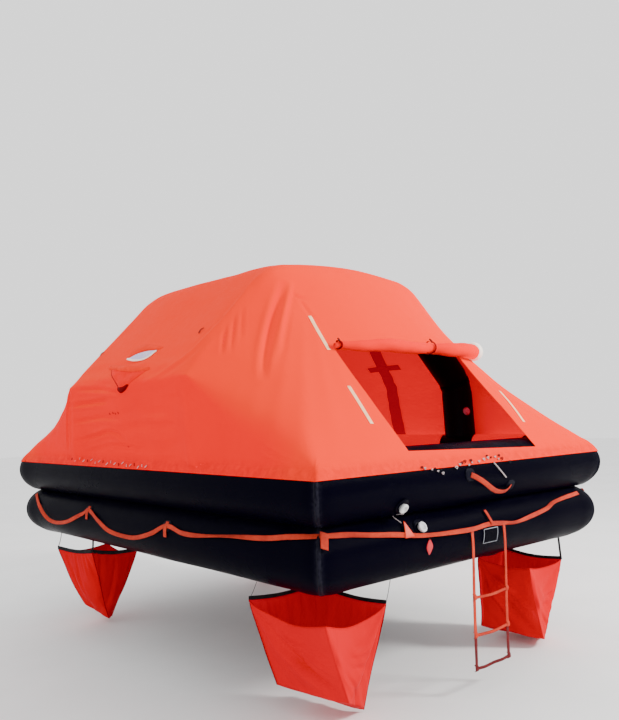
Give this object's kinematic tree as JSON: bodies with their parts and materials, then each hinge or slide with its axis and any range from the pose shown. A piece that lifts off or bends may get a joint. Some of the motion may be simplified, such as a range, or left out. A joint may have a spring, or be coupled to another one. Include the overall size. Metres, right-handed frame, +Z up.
{
  "type": "inflatable life raft",
  "caption": "Rectangular canopied inflatable life raft: two stacked black buoyancy tubes, orange canopy over arches, an entrance at each end, hanging water pockets and a boarding ladder.",
  "frame": {"origin": "on the waterline of the empty raft, midway along and across", "axes": "+X to the right looking in through the front entrance, +Y from the front entrance to the rear one, +Z up"},
  "size_m": [2.4047, 3.3758, 2.238],
  "materials": {
    "tube_black": "inflated rubber-coated fabric, satin near-black with a purple cast",
    "arch_black": "inflated rubber-coated fabric, satin near-black",
    "floor_orange": "coated floor fabric, matt",
    "canopy_orange": "coated fabric, signal orange, soft sheen",
    "cover_orange": "coated fabric, paler orange, rolled up",
    "port_white": "translucent white sleeve",
    "webbing_orange": "woven webbing, matt",
    "valve_white": "moulded white plastic",
    "valve_pink": "moulded pink plastic",
    "tag_red": "flat red tag, blank",
    "plate_grey": "flat plate, blank",
    "pocket_red": "coated fabric, bright red, creased",
    "steel_grey": "bare steel cylinder",
    "pouch_black": "reinforcing fabric, matt black"
  },
  "bodies": {
    "root": {"upper_tube": "tube_black", "lower_tube": "tube_black", "floor": "floor_orange", "arch_front": "arch_black", "arch_rear": "arch_black", "canopy_front": "canopy_orange", "canopy_middle": "canopy_orange", "canopy_rear": "canopy_orange", "cover_roll_front": "cover_orange", "cover_roll_rear": "cover_orange", "viewing_port_left": "port_white", "viewing_port_right": "port_white", "rain_pouch_left": "canopy_orange", "rain_pouch_right": "canopy_orange", "grab_line_front": "webbing_orange", "grab_line_rear": "webbing_orange", "grab_line_left": "webbing_orange", "grab_line_right": "webbing_orange", "ladder_front": "webbing_orange", "handle_front": "webbing_orange", "handle_rear": "webbing_orange", "relief_valve_upper": "valve_white", "relief_valve_lower": "valve_white", "valve_tag": "tag_red", "pull_tag": "tag_red", "label_plate": "plate_grey", "arch_valve_front": "valve_pink", "arch_valve_rear": "valve_pink", "water_pocket_front_left": "pocket_red", "water_pocket_front_right": "pocket_red", "water_pocket_rear_left": "pocket_red", "water_pocket_rear_right": "pocket_red", "gas_cylinder": "steel_grey", "cylinder_strap_1": "pouch_black", "cylinder_strap_2": "pouch_black", "righting_straps": "webbing_orange", "tow_patch_left": "pouch_black", "tow_patch_right": "pouch_black"}
  },
  "joints": []
}
